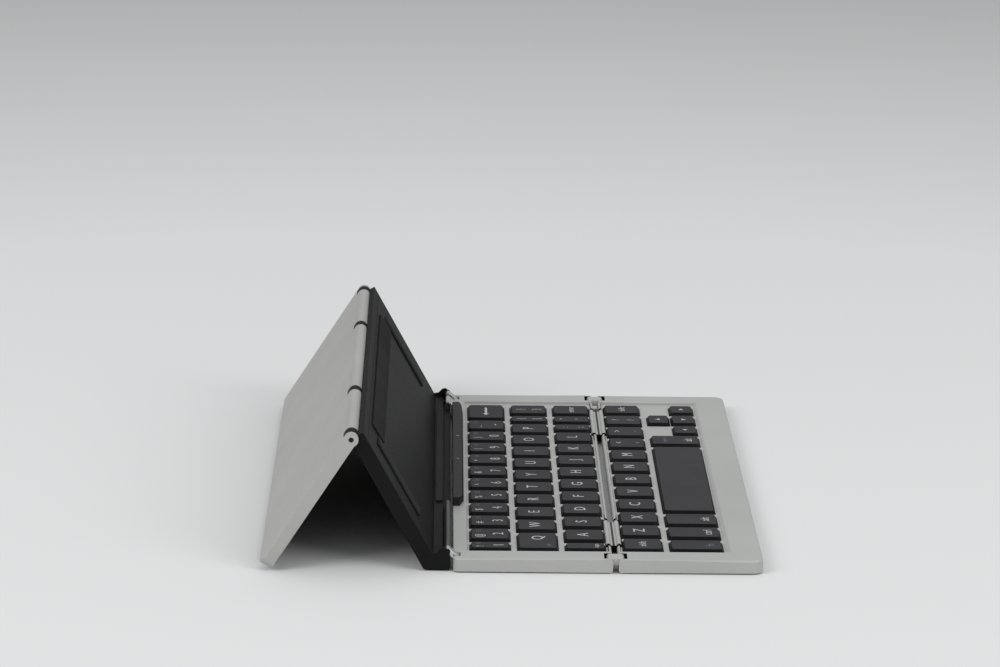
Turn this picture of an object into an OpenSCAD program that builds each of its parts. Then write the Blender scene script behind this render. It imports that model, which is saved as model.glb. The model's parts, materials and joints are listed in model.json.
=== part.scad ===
// Folding keyboard: two hinged key panels and a two-leaf stand, open on a table.
// X runs along the keys from the user's left to right, Y points away from the user, Z up.
// The origin is on the table, under the middle of the open object.

/* [Keyboard] */
// Length of the panels, left to right
length = 224; // [223:0.5:226]
// Front-to-back depth of the rear panel, which carries the upper three rows
rear_depth = 55; // [54.9:0.1:55.4]
// Front-to-back depth of the front panel, which carries the lower two rows and the palm strip
front_depth = 49.9; // [49.8:0.1:50.6]
// Gap between the two panels at the fold
fold_gap = 2.1; // [2.0:0.1:2.4]
// Height of the case rim above the table
rim_z = 5.2; // [5.2:0.1:5.4]
// Depth of the recess that the keys stand in
well_drop = 1.0; // [0.9:0.1:1.1]

/* [Keys] */
// Width of a letter key
key_w = 13.1; // [12.9:0.1:13.1]
// Gap between neighbouring keys of a row
key_gap = 3.3; // [3.2:0.1:3.3]
// Front-to-back size of a letter key
key_d = 14.2; // [14.0:0.1:14.2]
// Front-to-back gap between rows
row_gap = 2.35; // [2.3:0.05:2.4]
// Depth of the bottom row, with the space bar
bottom_key_d = 18.6; // [18.4:0.1:18.6]
// Height of the key tops above the table
key_top_z = 5.5; // [5.4:0.1:5.6]
// Key travel
travel = 1.0; // [0.8:0.1:1.0]

/* [Stand] */
// Angle between the leaning stand plate and the table
plate_lean = 61; // [60:0.5:62]
// Angle between the rear leg and the table
leg_lean = 57.2; // [57:0.2:58]
// Distance from the lower hinge line to the leg hinge, along the plate
plate_reach = 51.3; // [51:0.1:51.6]
// Thickness of the stand plate
plate_t = 5.2; // [5.2:0.1:5.3]
// Thickness of the leg tray over its end flanges
leg_t = 4.6; // [4.5:0.1:4.7]

/* [Hidden] */
$fn = 48;

// Heights in the panels, from the table up
case_z = 0.4;
cover_t = 0.8;
floor_z = case_z + cover_t + 0.05;
well_z = rim_z - well_drop;
deck_t = 1.0;
under_z = well_z - deck_t;
support_t = 0.25;
membrane_t = 0.35;
sheet_z = floor_z + support_t + membrane_t;
cap_low_z = 3.0;
cap_roof = 1.0;
cap_wall = 0.9;
wall = 1.2;
slip = 0.1;

// Two fold axes, one in each panel's nose, level with each other
fold_z = 4.0;
fold_r = 0.85;
fold_pin_r = 0.4;
end_link_r = 1.15;
run_gap = 0.03;
fit_gap = 0.01;

// Zones along the length, counted from the left end: links and blocks bridge the fold
end_zone = [1.4, 7.4];
block_zones = [[20.5, 49.8], [168.9, 203.5]];
block_slot = 2.4;
near_pin = [0.6, 58];
far_pin = [160, length - 0.6];

// Stand hinge: short links from the rear panel up to the stand plate
link_angle = 40;
link_len = 4.33;
link_r = 0.9;
link_inset = 1.4;
link_zones = [[3.8, 7.4], [203.4, 212.6], [length - 7.2, length - 3.4]];
link_play = 0.4;

// Case width between the key rows' outer bezels
bezel_end = 10;
well_rear = 4.8;
palm_d = 10.6;
front_corner_r = 4;
rear_corner_r = 2;
key_corner_r = 1.2;

// Stand plate section: distances along the plate (s) and out from its rear face (n)
hinge_n = 10.2;
knee_n = 0.6;
knee_r = 2.4;
leg_knuckle_r = 2.5;
knee_pin_r = 0.9;
plate_ends = [2.0, length - 2.0];
plate_knuckles = [[2.1, 7.7], [60.3, 65.7], [158.3, 163.7], [length - 7.7, length - 2.1]];
leg_knuckles = [[0, 1.8], [8, 60], [66, 158], [164, length - 8], [length - 1.8, length]];
leg_floor_t = 1.45;
leg_flange = 1.6;
leg_rim_out = 0.8;
leg_edge_z = [1.4, 2.85];
foot_z = 0.5;

// Places along Y
function spin(a, p) = [p[0] * cos(a) - p[1] * sin(a), p[0] * sin(a) + p[1] * cos(a)];
stand_pin_rise = spin(link_angle, [link_len, 0]);
lower_pin_z = 4.0;
// From the rear edge of the case: upper stand pin, plate origin, leg hinge, rearmost corner
upper_dy = stand_pin_rise[0] - link_inset;
upper_pin_z = lower_pin_z + stand_pin_rise[1];
origin_step = spin(plate_lean, [0, hinge_n]);
knee_step = spin(plate_lean, [plate_reach, knee_n]);
knee_dy = upper_dy - origin_step[0] + knee_step[0];
knee_z = upper_pin_z - origin_step[1] + knee_step[1];
// Length of the leg down its inner and its outer edge, which end at different heights
leg_in = leg_knuckle_r - leg_t;
leg_inner_len = (knee_z - leg_edge_z[0] + leg_in * cos(leg_lean)) / sin(leg_lean);
leg_outer_len = (knee_z - leg_edge_z[1] + leg_knuckle_r * cos(leg_lean)) / sin(leg_lean);
reach = knee_dy + leg_outer_len * cos(leg_lean) + leg_knuckle_r * sin(leg_lean);
front_y = -(front_depth + fold_gap + rear_depth + reach) / 2;
front_tip_y = front_y + front_depth;
rear_tip_y = front_tip_y + fold_gap;
rear_y = rear_tip_y + rear_depth;
front_axis_y = front_tip_y - fold_r;
rear_axis_y = rear_tip_y + fold_r;
lower_pin_y = rear_y - link_inset;
upper_pin_y = rear_y + upper_dy;
plate_y = upper_pin_y - origin_step[0];
plate_z = upper_pin_z - origin_step[1];
knee_y = rear_y + knee_dy;

// Key rows: front edge, depth and the widths of the keys from left to right
function std(n) = [for (i = [1:n]) key_w];
row_widths = [concat([8], std(10), [20.2]), concat([19.6], std(9), [8.7, 13]),
    concat([7.6], std(9), [8.5, 9, 12.9]), concat([13.3], [for (i = [1:10]) 13.45], [12.3]),
    [11.9, 12.7, 13.6, 87.4, 12.7]];
row3_y = rear_axis_y + fold_r + 0.2;
row4_y = front_axis_y - fold_r - 0.2 - (key_d - 0.2);
row5_y = row4_y - row_gap - bottom_key_d;
row_y = [row3_y + 2 * (key_d + row_gap), row3_y + key_d + row_gap, row3_y, row4_y, row5_y];
row_d = [key_d, key_d, key_d, key_d - 0.2, bottom_key_d];
key_start = 12;
function key_x(w, i) = i == 0 ? key_start : key_x(w, i - 1) + w[i - 1] + key_gap;
function row_keys(r) = [for (i = [0:len(row_widths[r]) - 1])
    [key_x(row_widths[r], i), row_widths[r][i], row_y[r], row_d[r]]];
// Arrow keys: half-depth keys at the right end, three in front and one behind the middle one
arrow_w = [11.4, 12.2, 11.4];
arrow_x0 = key_x(row_widths[4], 4) + row_widths[4][4] + key_gap;
arrow_x = [arrow_x0, arrow_x0 + arrow_w[0] + key_gap, arrow_x0 + arrow_w[0] + arrow_w[1] + 2 * key_gap];
arrow_front_d = 9.4;
arrow_rear_d = 8.6;
arrow_rear_y = row5_y + bottom_key_d - arrow_rear_d;
KEYS = concat(row_keys(0), row_keys(1), row_keys(2), row_keys(3), row_keys(4),
    [[arrow_x[0], arrow_w[0], row5_y, arrow_front_d], [arrow_x[1], arrow_w[1], arrow_rear_y, arrow_rear_d],
    [arrow_x[1], arrow_w[1], row5_y, arrow_front_d], [arrow_x[2], arrow_w[2], row5_y, arrow_front_d]]);
rear_keys = [0:36];
front_keys = [37:57];

// Small parts
bar_x = [65, 200];
bar_d = 4.1;
bar_z = rim_z + 3.3;
bar_y = rear_y + 0.2;
light_x = [134 - 16.2, 134 + 16.2];
light_r = 0.6;
board_x = [214.8, 221.6];
port_x = 216.6;
battery_x = [30, 140];
magnet_r = 2.5;
magnet_s = 9.5;
screw_r = 0.7;
screw_head_r = 1.25;
end_screw_inset = 5.2;
pad_t = 0.4;
grip_t = 0.8;
silver = "silver";
black = [0.12, 0.12, 0.12];
key_black = [0.25, 0.25, 0.26];

// A profile drawn in (y, z), run along X between two distances from the left end
module run(from, to)
    translate([from - length / 2, 0, 0]) rotate([90, 0, 90]) linear_extrude(to - from) children();

// A round bar along X
module rod(from, to, y, z, r)
    translate([from - length / 2, y, z]) rotate([0, 90, 0]) cylinder(r = r, h = to - from);

// A box from lengths counted from the left end, and y and z spans
module block(x, y, z)
    translate([x[0] - length / 2, y[0], z[0]]) cube([x[1] - x[0], y[1] - y[0], z[1] - z[0]]);

// A flat plate with rounded corners: rf at the two front corners and rr at the two rear ones
module plate(x, y, z, rf, rr)
    translate([0, 0, z[0]]) linear_extrude(z[1] - z[0]) plate_outline(x, y, rf, rr);

module plate_outline(x, y, rf, rr) {
    a = x[0] - length / 2;
    b = x[1] - length / 2;
    function corner(cx, cy, r, start) = r == 0 ? [[cx, cy]]
        : [for (i = [0:6]) [cx + r * cos(start + i * 15), cy + r * sin(start + i * 15)]];
    polygon(concat(corner(a + rf, y[0] + rf, rf, 180), corner(b - rf, y[0] + rf, rf, 270),
        corner(b - rr, y[1] - rr, rr, 0), corner(a + rr, y[1] - rr, rr, 90)));
}

// Places a profile of the stand plate, drawn as (s, n)
module on_plate() translate([plate_y, plate_z]) rotate(plate_lean) children();

// Places a profile of the leg, drawn as (distance down from its hinge, distance outwards)
module on_leg() translate([knee_y, knee_z]) rotate(-leg_lean) children();

// Nose of a panel at the fold: side is -1 where the panel lies behind its axis, 1 in front
module nose(axis_y, side) {
    tip = axis_y + side * fold_r;
    translate([axis_y, fold_z]) circle(fold_r);
    translate([min(tip, tip - side * 1.7), case_z + 1]) square([1.7, fold_z - case_z - 1]);
    translate([tip - side, case_z + 1]) circle(1);
    translate([min(tip - side, tip - side * 1.7), case_z]) square([0.7, fold_z - case_z]);
}

// Rim part of the nose, at the two ends where the case is full height
module rim_nose(axis_y, side) {
    tip = axis_y + side * fold_r;
    nose(axis_y, side);
    translate([tip - side, rim_z - 1]) circle(1);
    translate([min(tip, tip - side * 1.7), case_z + 1]) square([1.7, rim_z - case_z - 2]);
}

// Cuts in a panel's nose: end notches, slots beside the blocks, room for the blocks, pin bores
module nose_cuts(axis_y, side) {
    tip = axis_y + side * fold_r;
    for (x = [[end_zone[0] - 0.2, end_zone[1] + 0.2],
            [length - end_zone[1] - 0.2, length - end_zone[0] + 0.2]])
        block(x, [min(tip + side, axis_y - side * 2.1), max(tip + side, axis_y - side * 2.1)],
            [floor_z, rim_z + 1]);
    for (z = block_zones) {
        block([z[0] - block_slot, z[1] + block_slot],
            [min(tip + side, axis_y - side * 1.15), max(tip + side, axis_y - side * 1.15)],
            [fold_z - fold_r - 0.25, rim_z + 1]);
        for (x = [z[0] - block_slot, z[1]])
            block([x, x + block_slot], [min(tip + side, axis_y - side * 0.9),
                max(tip + side, axis_y - side * 0.9)], [0, rim_z + 1]);
    }
    for (x = [near_pin, far_pin]) rod(x[0], x[1], axis_y, fold_z, fold_pin_r + fit_gap);
}

// Holes for the keys, a little wider than each cap
module key_holes(which)
    for (i = which) {
        k = KEYS[i];
        block([k[0] - 0.25, k[0] + k[1] + 0.25], [k[2] - 0.2, k[2] + k[3] + 0.2],
            [under_z - 0.5, well_z + 1]);
    }

// Places of the screws, near the ends of a panel
module screw_spots(ys)
    for (x = [end_screw_inset, length - end_screw_inset], y = ys)
        translate([x - length / 2, y, 0]) children();

rear_screw_ys = [rear_y - 8, rear_tip_y + 9];
front_screw_ys = [front_y + 6, front_tip_y - 9];

module screws(ys)
    color("dimgray") screw_spots(ys) {
        translate([0, 0, case_z + 0.1]) cylinder(r = screw_head_r, h = 0.5);
        translate([0, 0, case_z + 0.6]) cylinder(r = screw_r, h = 2.6);
    }

module screw_holes(ys)
    screw_spots(ys) {
        translate([0, 0, case_z - 1]) cylinder(r = screw_r + 0.02, h = 4.3);
    }

// Room behind the bars and boards is cut from below, up to a roof under the rim
module rear_deck() color(silver) difference() {
    union() {
        plate([0, length], [rear_tip_y + 1.6, rear_y], [case_z, rim_z], 0, rear_corner_r);
        for (x = [[0, bezel_end], [length - bezel_end, length]])
            run(x[0], x[1]) rim_nose(rear_axis_y, -1);
        run(bezel_end, length - bezel_end) nose(rear_axis_y, -1);
    }
    block([bezel_end, length - bezel_end], [rear_axis_y, rear_y - well_rear], [well_z, rim_z + 1]);
    block([bezel_end, length - bezel_end], [rear_tip_y - 1, rear_axis_y + 0.01],
        [fold_z + fold_r, rim_z + 1]);
    plate([wall, length - wall], [rear_tip_y + 1.8, rear_y - wall], [case_z - 1, floor_z], 1, 1);
    block([bezel_end + 0.5, length - bezel_end - 2.5], [rear_tip_y + 1.8, rear_y - well_rear],
        [floor_z - 0.01, under_z]);
    block(board_x, [rear_tip_y + 14, rear_y - 12], [floor_z - 0.01, rim_z - 0.8]);
    block([port_x - 0.1, length + 1], [rear_tip_y + 24, rear_tip_y + 33.2], [1.9, 4.7]);
    key_holes(rear_keys);
    nose_cuts(rear_axis_y, -1);
    for (z = link_zones) block([z[0] - link_play, z[1] + link_play],
        [lower_pin_y - link_r - 0.3, rear_y + 1], [floor_z, rim_z + 1]);
    for (z = link_zones) rod(max(z[0] - 2.6, 0.6), min(z[1] + 2.6, length - 0.6), lower_pin_y,
        lower_pin_z, fold_pin_r + fit_gap);
    screw_holes(rear_screw_ys);
}

module rear_bottom_cover() color("gainsboro") difference() {
    plate([wall + slip, length - wall - slip], [rear_tip_y + 1.9, rear_y - wall - slip],
        [case_z, case_z + cover_t], 1, 1);
    screw_spots(rear_screw_ys) {
        cylinder(r = screw_r + 0.1, h = 3);
        cylinder(r = screw_head_r + 0.05, h = case_z + 0.62);
    }
}

module rear_support_plate() color("lightgray")
    block([bezel_end + 1, length - bezel_end - 3], [rear_tip_y + 2, rear_y - well_rear - 0.5],
        [floor_z, floor_z + support_t]);

module rear_membrane() color("darkslategray")
    block([bezel_end + 1.5, length - bezel_end - 3.5], [rear_tip_y + 2.2, rear_y - well_rear - 0.8],
        [floor_z + support_t, sheet_z]);

// One low rubber dome under each key, at the height it has when the key is down
module domes(which)
    for (i = which) {
        k = KEYS[i];
        r = min(k[1], k[3]) > 12 ? 2 : 1.3;
        translate([k[0] + k[1] / 2 - length / 2, k[2] + k[3] / 2, sheet_z])
            cylinder(r1 = r, r2 = r - 0.6, h = cap_low_z + 0.3 - sheet_z);
    }

// Scissor frames under the caps, folded flat: a ring, and a smaller one inside it on wide keys
module frame_ring(cx, cy, w, d)
    difference() {
        translate([cx - w / 2, cy - d / 2, sheet_z]) cube([w, d, 0.8]);
        translate([cx - w / 2 + 0.7, cy - d / 2 + 0.7, 0]) cube([w - 1.4, d - 1.4, 9]);
    }

module scissors(which)
    for (i = which) {
        k = KEYS[i];
        cx = k[0] + k[1] / 2 - length / 2;
        cy = k[2] + k[3] / 2;
        w = min(k[1] - 3, 10);
        d = min(k[3] - 4, 9.5);
        frame_ring(cx, cy, w, d);
        if (min(k[1], k[3]) > 12) frame_ring(cx, cy, w - 1.8, d - 1.8);
    }

module rear_domes() color("dimgray") domes(rear_keys);

module rear_scissors() color("white") scissors(rear_keys);

module main_board() color("darkgreen") {
    block([board_x[0] + 0.3, board_x[1] - 0.3], [rear_tip_y + 14.3, rear_y - 12.3], [floor_z, 2.0]);
    block([board_x[0] + 1, board_x[1] - 1], [rear_tip_y + 16, rear_tip_y + 22], [2.0, 3.0]);
    block([board_x[0] + 1, board_x[1] - 2], [rear_y - 19, rear_y - 14], [2.0, 2.9]);
}

module charge_port() color("darkgray") difference() {
    block([port_x, length - 0.1], [rear_tip_y + 24.1, rear_tip_y + 33.1], [2.0, 4.6]);
    block([port_x + 1.3, length + 1], [rear_tip_y + 24.4, rear_tip_y + 32.8], [2.3, 4.3]);
}

// Black bar on the rear rim, the near wall of the trough along the stand's foot
module bar_section() polygon([[bar_y, rim_z], [bar_y - bar_d, rim_z], [bar_y - bar_d + 0.55, bar_z - 0.3],
    [bar_y - bar_d + 0.9, bar_z], [bar_y - 0.3, bar_z], [bar_y, bar_z - 0.3]]);

module tablet_bar() color(black) difference() {
    intersection() {
        run(bar_x[0], bar_x[1]) bar_section();
        translate([0, 0, rim_z]) linear_extrude(9) polygon([for (p = [[0, 0], [0, -2.6], [6, -bar_d],
            [bar_x[1] - bar_x[0] - 6, -bar_d], [bar_x[1] - bar_x[0], -2.6], [bar_x[1] - bar_x[0], 0]])
            [p[0] + bar_x[0] - length / 2, p[1] + bar_y]]);
    }
    for (x = light_x) translate([x - length / 2, bar_y - 2, bar_z - 1])
        cylinder(r = light_r + 0.05, h = 2);
}

module indicator_lights() color("dimgray")
    for (x = light_x) translate([x - length / 2, bar_y - 2, bar_z - 1]) cylinder(r = light_r, h = 0.9);

module feet(ys) color("dimgray")
    for (x = [12, length - 32], y = ys) block([x, x + 20], [y, y + 3], [0, case_z]);

module rear_feet() feet([rear_tip_y + 4, rear_y - 7]);

module rear_screws() screws(rear_screw_ys);

module rear_hinge_pins() color("gray") {
    for (x = [near_pin, far_pin]) rod(x[0] + 0.1, x[1] - 0.1, rear_axis_y, fold_z, fold_pin_r);
    for (z = link_zones) rod(max(z[0] - 2.5, 0.7), min(z[1] + 2.5, length - 0.7), lower_pin_y,
        lower_pin_z, fold_pin_r);
}

// Bar with round ends over the two fold axes, less the two pin bores
module fold_link(from, to, r, web) difference() {
    union() {
        rod(from, to, rear_axis_y, fold_z, r);
        rod(from, to, front_axis_y, fold_z, r);
        block([from, to], [front_axis_y, rear_axis_y], [fold_z - web[0], fold_z + web[1]]);
    }
    rod(from - 1, to + 1, rear_axis_y, fold_z, fold_pin_r + run_gap);
    rod(from - 1, to + 1, front_axis_y, fold_z, fold_pin_r + run_gap);
}

module fold_end_links() color(silver) {
    fold_link(end_zone[0], end_zone[1], end_link_r, [end_link_r, end_link_r]);
    fold_link(length - end_zone[1], length - end_zone[0], end_link_r, [end_link_r, end_link_r]);
}

// Long figure-of-eight blocks with a shallow web; the left one is slotted for the cable
module fold_hinge_blocks() color(silver) difference() {
    for (z = block_zones) fold_link(z[0] + 0.2, z[1] - 0.2, fold_r, [0.7, 0.1]);
    block([29.9, 38.1], [front_axis_y - 2, rear_axis_y + 2], [fold_z - 1.2, fold_z - 0.55]);
}

module flex_cable() color("darkorange")
    block([30, 38], [front_axis_y - 0.6, rear_axis_y + 0.6], [fold_z - 0.75, fold_z - 0.6]);

module front_deck() color(silver) difference() {
    union() {
        plate([0, length], [front_y, front_tip_y - 1.6], [case_z, rim_z], front_corner_r, 0);
        for (x = [[0, bezel_end], [length - bezel_end, length]])
            run(x[0], x[1]) rim_nose(front_axis_y, 1);
        run(bezel_end, length - bezel_end) nose(front_axis_y, 1);
    }
    block([bezel_end, length - bezel_end], [front_y + palm_d, front_axis_y], [well_z, rim_z + 1]);
    block([bezel_end, length - bezel_end], [front_axis_y - 0.01, front_tip_y + 1],
        [fold_z + fold_r, rim_z + 1]);
    plate([wall, length - wall], [front_y + wall, front_tip_y - 1.8], [case_z - 1, floor_z], 3, 1);
    block([bezel_end + 0.5, length - bezel_end - 0.5], [front_y + palm_d + 0.5, front_tip_y - 1.8],
        [floor_z - 0.01, under_z]);
    block([battery_x[0] - 0.5, battery_x[1] + 0.5], [front_y + 1.6, front_y + palm_d - 0.6],
        [floor_z - 0.01, rim_z - 0.8]);
    for (x = [16, length - 16]) translate([x - length / 2, front_y + 5.8, floor_z - 0.01])
        cylinder(r = magnet_r + 0.05, h = 1.6);
    key_holes(front_keys);
    nose_cuts(front_axis_y, 1);
    screw_holes(front_screw_ys);
}

module front_bottom_cover() color("gainsboro") difference() {
    plate([wall + slip, length - wall - slip], [front_y + wall + slip, front_tip_y - 1.9],
        [case_z, case_z + cover_t], 3, 1);
    screw_spots(front_screw_ys) {
        cylinder(r = screw_r + 0.1, h = 3);
        cylinder(r = screw_head_r + 0.05, h = case_z + 0.62);
    }
}

module front_support_plate() color("lightgray")
    block([bezel_end + 1, length - bezel_end - 1], [front_y + palm_d + 1, front_tip_y - 2],
        [floor_z, floor_z + support_t]);

module front_membrane() color("darkslategray")
    block([bezel_end + 1.5, length - bezel_end - 1.5], [front_y + palm_d + 1.3, front_tip_y - 2.2],
        [floor_z + support_t, sheet_z]);

module front_domes() color("dimgray") domes(front_keys);

module front_scissors() color("white") scissors(front_keys);

// Wire that keeps the space bar level: one long run and two short arms
wire_y = row5_y + 2.6;
wire_x = [KEYS[52][0] + 4, KEYS[52][0] + KEYS[52][1] - 4];
wire_r = 0.35;
module space_bar_wire() color("gray") {
    rod(wire_x[0], wire_x[1], wire_y, sheet_z + wire_r, wire_r);
    for (x = wire_x) translate([x - length / 2, wire_y, sheet_z + wire_r]) rotate([-90, 0, 0])
        cylinder(r = wire_r, h = 12);
}

module battery() color("slategray")
    block(battery_x, [front_y + 1.9, front_y + palm_d - 0.9], [floor_z, rim_z - 1]);

module palm_magnets() color("gray")
    for (x = [16, length - 16]) translate([x - length / 2, front_y + 5.8, floor_z])
        cylinder(r = magnet_r, h = 1.5);

module front_feet() feet([front_y + 4, front_tip_y - 8]);

module front_screws() screws(front_screw_ys);

module front_hinge_pins() color("gray")
    for (x = [near_pin, far_pin]) rod(x[0] + 0.1, x[1] - 0.1, front_axis_y, fold_z, fold_pin_r);

module stand_links() color(silver) for (z = link_zones) difference() {
    union() {
        rod(z[0], z[1], lower_pin_y, lower_pin_z, link_r);
        rod(z[0], z[1], upper_pin_y, upper_pin_z, link_r);
        run(z[0], z[1]) translate([lower_pin_y, lower_pin_z]) rotate(link_angle)
            translate([0, -link_r]) square([link_len, 2 * link_r]);
    }
    rod(z[0] - 1, z[1] + 1, lower_pin_y, lower_pin_z, fold_pin_r + run_gap);
    rod(z[0] - 1, z[1] + 1, upper_pin_y, upper_pin_z, fold_pin_r + run_gap);
}

// Section of the stand plate and its foot. The foot is drawn from the case's rear edge
foot_front_y = rear_y + 1;
foot_deck_z = 4.9;
trough_z = 5.2;
module plate_section() {
    bottom_s = -(plate_z - foot_z) / sin(plate_lean);
    intersection() {
        on_plate() polygon([[bottom_s - 4, 0], [plate_reach, 0], [plate_reach, plate_t], [-2, plate_t]]);
        translate([0, foot_z]) square([100, 90]);
    }
    polygon([[plate_y - (plate_z - foot_z) / tan(plate_lean), foot_z], [foot_front_y + 0.5, foot_z],
        [foot_front_y, foot_z + 0.5], [foot_front_y, foot_deck_z], [foot_front_y + 2.1, foot_deck_z],
        [foot_front_y + 2.6, trough_z], [foot_front_y + 7, trough_z]]);
}

// The foot's closed ends stand up around the upper pins
module end_cap_section() {
    plate_section();
    translate([upper_pin_y, upper_pin_z]) circle(link_r);
    polygon([[foot_front_y, foot_deck_z - 1], [foot_front_y, foot_deck_z], [foot_front_y + 0.5, 6.6],
        [foot_front_y + 1.3, 8.1], [foot_front_y + 1.9, 8.4], [foot_front_y + 3.2, 8.1],
        [foot_front_y + 4.6, 6.6], [foot_front_y + 7, 6.2], [foot_front_y + 7, foot_deck_z - 1]]);
}

body_pocket = [[12, length - 12], [6, 44], [1.2, 4.0]];
cover_span = [[4, length - 4], [3, 48]];
module stand_body() color(black) difference() {
    union() {
        run(plate_ends[0], plate_ends[1]) plate_section();
        for (x = [[plate_ends[0], 3.1], [length - 3.1, plate_ends[1]]])
            run(x[0], x[1]) end_cap_section();
        for (z = plate_knuckles) rod(z[0], z[1], knee_y, knee_z, knee_r);
    }
    for (i = [0:len(leg_knuckles) - 1]) {
        z = leg_knuckles[i];
        rod(max(z[0] - 0.3, 0), min(z[1] + 0.3, length), knee_y, knee_z, leg_knuckle_r + 0.35);
    }
    for (z = link_zones) block([z[0] - 0.3, z[1] + 0.3], [foot_front_y - 1, foot_front_y + 2.7],
        [4.1, 12]);
    for (z = plate_knuckles) rod(z[0] - 1, z[1] + 1, knee_y, knee_z, knee_pin_r + fit_gap);
    for (x = [[plate_ends[0] - 1, 4], [length - 4, plate_ends[1] + 1]])
        rod(x[0], x[1], upper_pin_y, upper_pin_z, fold_pin_r + fit_gap);
    run(body_pocket[0][0], body_pocket[0][1]) on_plate()
        translate([body_pocket[1][0], body_pocket[2][0]])
            square([body_pocket[1][1] - body_pocket[1][0], plate_t]);
    run(cover_span[0][0], cover_span[0][1]) on_plate() translate([cover_span[1][0], body_pocket[2][1]])
        square([cover_span[1][1] - cover_span[1][0], plate_t]);
}

module stand_front_cover() color(black)
    run(cover_span[0][0] + slip, cover_span[0][1] - slip) on_plate()
        translate([cover_span[1][0] + slip, body_pocket[2][1]])
            square([cover_span[1][1] - cover_span[1][0] - 2 * slip, plate_t - body_pocket[2][1]]);

module stand_stiffener() color("gray")
    run(body_pocket[0][0] + 1, body_pocket[0][1] - 1) on_plate() translate([body_pocket[1][0] + 0.5, 1.2])
        square([body_pocket[1][1] - body_pocket[1][0] - 1, 1.0]);

module stand_magnets() color("lightgray")
    for (x = [16, length - 16]) translate([x - length / 2, plate_y, plate_z]) rotate([plate_lean, 0, 0])
        translate([0, magnet_s, 2.2]) cylinder(r = magnet_r, h = 1.7);

// Silver strip of knuckles along the foot that holds the upper pins
strip_zones = [[link_zones[0][1] + link_play, bar_x[0] - 1],
    [bar_x[1] + 1, link_zones[1][0] - link_play],
    [link_zones[1][1] + link_play, link_zones[2][0] - link_play]];
module stand_hinge_strip() color(silver) for (z = strip_zones) difference() {
    union() {
        rod(z[0], z[1], upper_pin_y, upper_pin_z, link_r);
        block(z, [upper_pin_y - link_r, upper_pin_y + link_r], [foot_deck_z, upper_pin_z]);
    }
    rod(z[0] - 1, z[1] + 1, upper_pin_y, upper_pin_z, fold_pin_r + fit_gap);
}

module tablet_grip() color([0.2, 0.2, 0.2])
    for (x = [[30, 194], [18, 26], [198, 206]]) run(x[0], x[1]) on_plate()
        translate([x[1] - x[0] > 20 ? 38 : 12, plate_t])
            square([x[1] - x[0] > 20 ? 8 : 30, grip_t]);

module tablet_rest_pad() color([0.2, 0.2, 0.2])
    run(70, 198) translate([foot_front_y + 2.7, trough_z]) square([2.6, 0.8]);

module stand_foot_pads() color("dimgray")
    for (x = [[8, 60], [86, 138], [164, length - 8]])
        block(x, [foot_front_y + 1.2, foot_front_y + 7.4], [0, foot_z]);

module stand_hinge_pins() color("gray") {
    for (z = link_zones) rod(max(z[0] - 1.3, plate_ends[0] + 0.1),
        min(z[1] + 1.3, plate_ends[1] - 0.1), upper_pin_y, upper_pin_z, fold_pin_r);
    rod(0.8, length - 0.8, knee_y, knee_z, knee_pin_r);
}

// Section of the leg between two outward distances, with its slanted lower end
function leg_end(out) = leg_inner_len
    + (leg_outer_len - leg_inner_len) * (out - leg_in) / (leg_knuckle_r - leg_in);
module leg_slice(from, out0, out1)
    polygon([[from, out0], [leg_end(out0), out0], [leg_end(out1), out1], [from, out1]]);

// Leg: a tray with end flanges, so that the stand plate nests in it when folded
module leg_shell() color(silver) difference() {
    union() {
        intersection() {
            union() {
                run(0, length) on_leg() leg_slice(0, leg_knuckle_r - leg_floor_t, leg_knuckle_r);
                for (x = [[0, leg_flange], [length - leg_flange, length]])
                    run(x[0], x[1]) on_leg() leg_slice(0, leg_in, leg_knuckle_r);
            }
            leg_envelope();
        }
        run(leg_flange, length - leg_flange) on_leg()
            leg_slice(leg_inner_len - 1.2, leg_rim_out, leg_knuckle_r - 0.5);
        for (z = leg_knuckles) rod(z[0], z[1], knee_y, knee_z, leg_knuckle_r);
    }
    for (z = plate_knuckles) rod(z[0] - 0.3, z[1] + 0.3, knee_y, knee_z, knee_r + 0.35);
    rod(-1, length + 1, knee_y, knee_z, knee_pin_r + run_gap);
}

// Outline of the leg seen square on, with its two lower corners rounded
leg_corner_r = 3;
module leg_envelope() translate([0, knee_y, knee_z]) rotate([-leg_lean, 0, 0])
    translate([0, 0, -2 * leg_t]) linear_extrude(4 * leg_t)
        plate_outline([0, length], [-leg_t, leg_outer_len], 0, leg_corner_r);

// Lining on the inner face, clear of the plate that folds against it
module leg_liner() color([0.2, 0.2, 0.2])
    run(leg_flange + 0.2, length - leg_flange - 0.2) on_leg()
        translate([4, leg_knuckle_r - leg_floor_t - 0.25]) square([leg_inner_len - 5.4, 0.25]);

// Rubber sole under the leg's lower edge, flat on the table
function sole(out) = [(knee_z + out * cos(leg_lean)) / sin(leg_lean), out];
module leg_foot() color("dimgray")
    run(10, length - 10) on_leg() polygon([[leg_end(1.9), 1.9], [leg_end(leg_rim_out), leg_rim_out],
        sole(-0.6), sole(0.7)]);

// A key cap: a rounded block, hollow underneath
module keycap(k) color(key_black) translate([k[0] - length / 2, k[2], 0]) difference() {
    translate([0, 0, cap_low_z]) linear_extrude(key_top_z - cap_low_z) rounded(k[1], k[3], key_corner_r);
    translate([cap_wall, cap_wall, cap_low_z - 1])
        cube([k[1] - 2 * cap_wall, k[3] - 2 * cap_wall, key_top_z - cap_low_z + 1 - cap_roof]);
}

module rounded(w, d, r) {
    translate([r, 0]) square([w - 2 * r, d]);
    translate([0, r]) square([w, d - 2 * r]);
    for (x = [r, w - r], y = [r, d - r]) translate([x, y]) circle(r);
}

module keys(which) for (i = which) keycap(KEYS[i]);

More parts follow.
